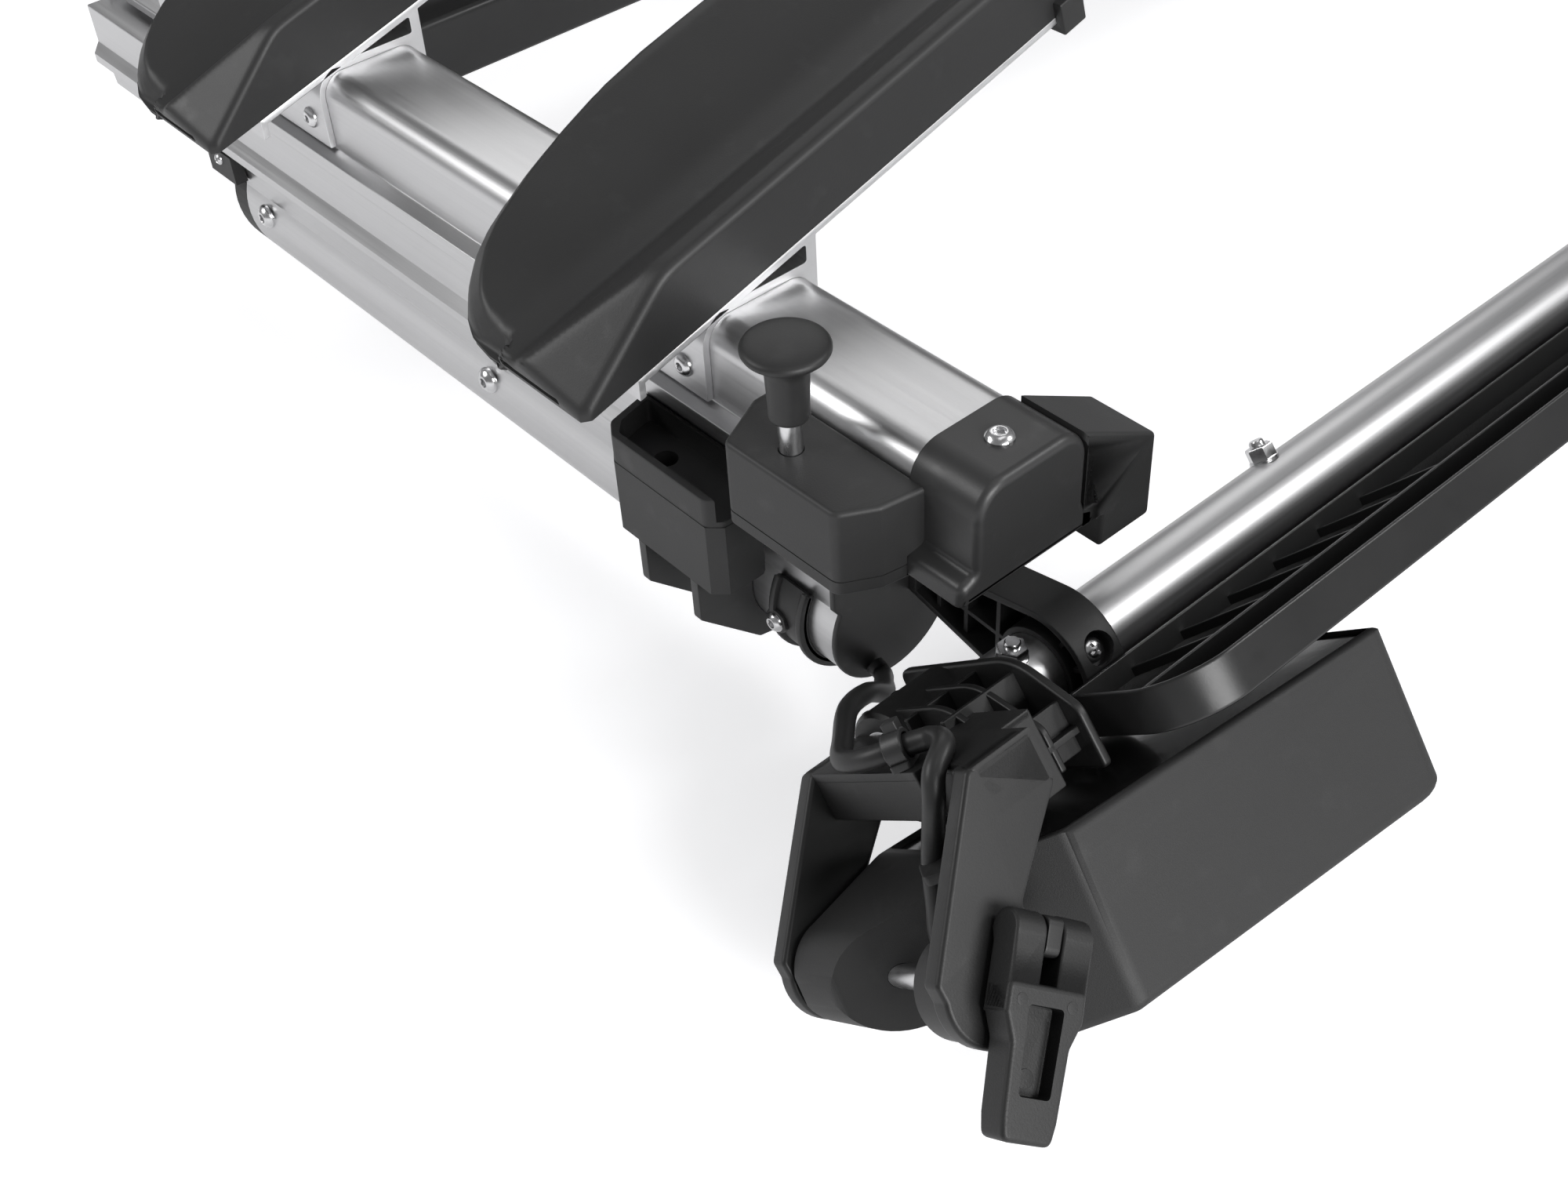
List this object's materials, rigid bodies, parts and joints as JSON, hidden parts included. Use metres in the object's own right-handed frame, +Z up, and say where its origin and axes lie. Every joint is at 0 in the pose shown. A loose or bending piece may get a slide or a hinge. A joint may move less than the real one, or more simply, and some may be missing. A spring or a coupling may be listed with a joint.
{
  "type": "hitch bike carrier",
  "caption": "Tow-ball bike carrier with a sliding tray carriage on aluminium rails, swing-out lamps, locking knobs and a folding bow with frame holders.",
  "frame": {"origin": "centre of the tow ball that the coupling takes", "axes": "+Z up, +Y towards the car, +X to the right when seen from behind the car"},
  "size_m": [1.2852, 0.9728, 0.9077],
  "materials": {
    "rail_aluminium": "fine brushed along the profile, satin",
    "support_aluminium": "milled edge, satin",
    "tray_plastic": "fine grained",
    "black_plastic": "fine grained",
    "cap_plastic": "semi-gloss",
    "knob_plastic": "grained",
    "lamp_plastic": "fine grained",
    "lens_plastic": "polished, smoked",
    "zinc_steel": "zinc plated",
    "pin_steel": "ground",
    "black_paint": "powder coated, semi-matt",
    "cast_black": "cast, powder coated",
    "jaw_steel": "machined",
    "cable_rubber": "smooth, dull"
  },
  "bodies": {
    "frame": {"left_lower_rail": "rail_aluminium", "right_lower_rail": "rail_aluminium", "rail_end_caps": "black_plastic", "rail_front_ends": "black_plastic", "lock_blocks": "black_plastic", "rail_bands": "black_plastic", "bar_clamps": "black_plastic", "clamp_screws": "zinc_steel", "rail_bolts": "zinc_steel", "front_crossbeam": "black_paint", "middle_crossbeam": "black_paint", "coupling_spine": "black_paint", "coupling_body": "cast_black", "light_tube": "rail_aluminium", "plate_holder": "cap_plastic", "left_lamp_bracket": "black_plastic", "right_lamp_bracket": "black_plastic", "tube_bolts": "zinc_steel", "left_lamp_cable": "cable_rubber", "right_lamp_cable": "cable_rubber", "cable_clips": "black_plastic", "lamp_pins": "pin_steel"},
    "carriage": {"left_upper_rail": "rail_aluminium", "right_upper_rail": "rail_aluminium", "upper_end_caps": "cap_plastic", "wedge_boxes": "cap_plastic", "knob_blocks": "black_plastic", "left_rear_tray_support": "support_aluminium", "left_front_tray_support": "support_aluminium", "right_rear_tray_support": "support_aluminium", "right_front_tray_support": "support_aluminium", "left_rear_tray": "tray_plastic", "left_front_tray": "tray_plastic", "right_rear_tray": "tray_plastic", "right_front_tray": "tray_plastic", "tray_clips": "black_plastic", "carriage_front_beam": "black_paint", "carriage_rear_beam": "black_paint", "cap_screws": "zinc_steel", "support_screws": "zinc_steel", "bow_hinge_brackets": "black_paint"},
    "left_knob": {"left_pull_knob": "knob_plastic", "left_lock_pin": "pin_steel"},
    "right_knob": {"right_pull_knob": "knob_plastic", "right_lock_pin": "pin_steel"},
    "left_lamp": {"left_lamp_housing": "lamp_plastic", "left_lamp_lens": "lens_plastic"},
    "right_lamp": {"right_lamp_housing": "lamp_plastic", "right_lamp_lens": "lens_plastic"},
    "left_latch": {"left_latch_lever": "black_plastic"},
    "right_latch": {"right_latch_lever": "black_plastic"},
    "coupling_handle": {"coupling_lever": "cast_black"},
    "ball_jaw": {"clamping_jaw": "jaw_steel"},
    "bow": {"bow": "black_paint"},
    "short_arm": {"short_holder": "black_plastic"},
    "short_claw": {"short_jaw": "black_plastic"},
    "short_wheel": {"short_knob": "knob_plastic"},
    "long_arm": {"long_holder": "black_plastic"},
    "long_claw": {"long_jaw": "black_plastic"},
    "long_wheel": {"long_knob": "knob_plastic"}
  },
  "joints": [
    {"name": "carriage_slide", "type": "slide", "parent": "frame", "child": "carriage", "axis": [0, -1, 0], "range_m": [-0.073, 0.03]},
    {"name": "left_pull", "type": "slide", "parent": "carriage", "child": "left_knob", "axis": [0, 0, 1], "range_m": [-0.008, 0.01], "stiffness_N_per_m": 1500},
    {"name": "right_pull", "type": "slide", "parent": "carriage", "child": "right_knob", "axis": [0, 0, 1], "range_m": [-0.008, 0.01], "stiffness_N_per_m": 1500},
    {"name": "left_lamp_swing", "type": "hinge", "parent": "frame", "child": "left_lamp", "pos_m": [-0.613, -0.74413, 0.01453], "axis": [0, 0.766, -0.6428], "range_deg": [0, 175.6]},
    {"name": "left_latch_lift", "type": "hinge", "parent": "frame", "child": "left_latch", "pos_m": [-0.595, -0.81133, 0.08006], "axis": [-0.7314, 0.4384, 0.5224], "range_deg": [0, 70]},
    {"name": "right_lamp_swing", "type": "hinge", "parent": "frame", "child": "right_lamp", "pos_m": [0.613, -0.74413, 0.01453], "axis": [0, -0.766, 0.6428], "range_deg": [0, 175.6]},
    {"name": "right_latch_lift", "type": "hinge", "parent": "frame", "child": "right_latch", "pos_m": [0.595, -0.81133, 0.08006], "axis": [-0.7314, -0.4384, -0.5224], "range_deg": [0, 70]},
    {"name": "coupling_lift", "type": "hinge", "parent": "frame", "child": "coupling_handle", "pos_m": [0, -0.026, 0.062], "axis": [1, 0, 0], "range_deg": [0, 100]},
    {"name": "ball_jaw_slide", "type": "slide", "parent": "frame", "child": "ball_jaw", "axis": [0, -1, 0], "range_m": [0, 0.006]},
    {"name": "bow_fold", "type": "hinge", "parent": "carriage", "child": "bow", "pos_m": [0, -0.183, 0.17], "axis": [1, 0, 0], "range_deg": [0, 90]},
    {"name": "short_arm_swivel", "type": "hinge", "parent": "bow", "child": "short_arm", "pos_m": [-0.09, -0.183, 0.85], "axis": [1, 0, 0], "range_deg": [-60, 20]},
    {"name": "short_claw_open", "type": "hinge", "parent": "short_arm", "child": "short_claw", "pos_m": [-0.09, -0.4096, 0.85], "axis": [-1, 0, 0], "range_deg": [0, 70]},
    {"name": "short_wheel_turn", "type": "hinge", "parent": "short_claw", "child": "short_wheel", "pos_m": [-0.09, -0.332, 0.85], "axis": [0, 0, 1], "continuous": true},
    {"name": "long_arm_swivel", "type": "hinge", "parent": "bow", "child": "long_arm", "pos_m": [0.09, -0.183, 0.85], "axis": [1, 0, 0], "range_deg": [-60, 20]},
    {"name": "long_claw_open", "type": "hinge", "parent": "long_arm", "child": "long_claw", "pos_m": [0.09, -0.6196, 0.85], "axis": [-1, 0, 0], "range_deg": [0, 70]},
    {"name": "long_wheel_turn", "type": "hinge", "parent": "long_claw", "child": "long_wheel", "pos_m": [0.09, -0.542, 0.85], "axis": [0, 0, 1], "continuous": true}
  ],
  "couplings": [
    {"joint": "ball_jaw_slide", "follows": "coupling_lift", "m_per_rad": 0.0034}
  ]
}
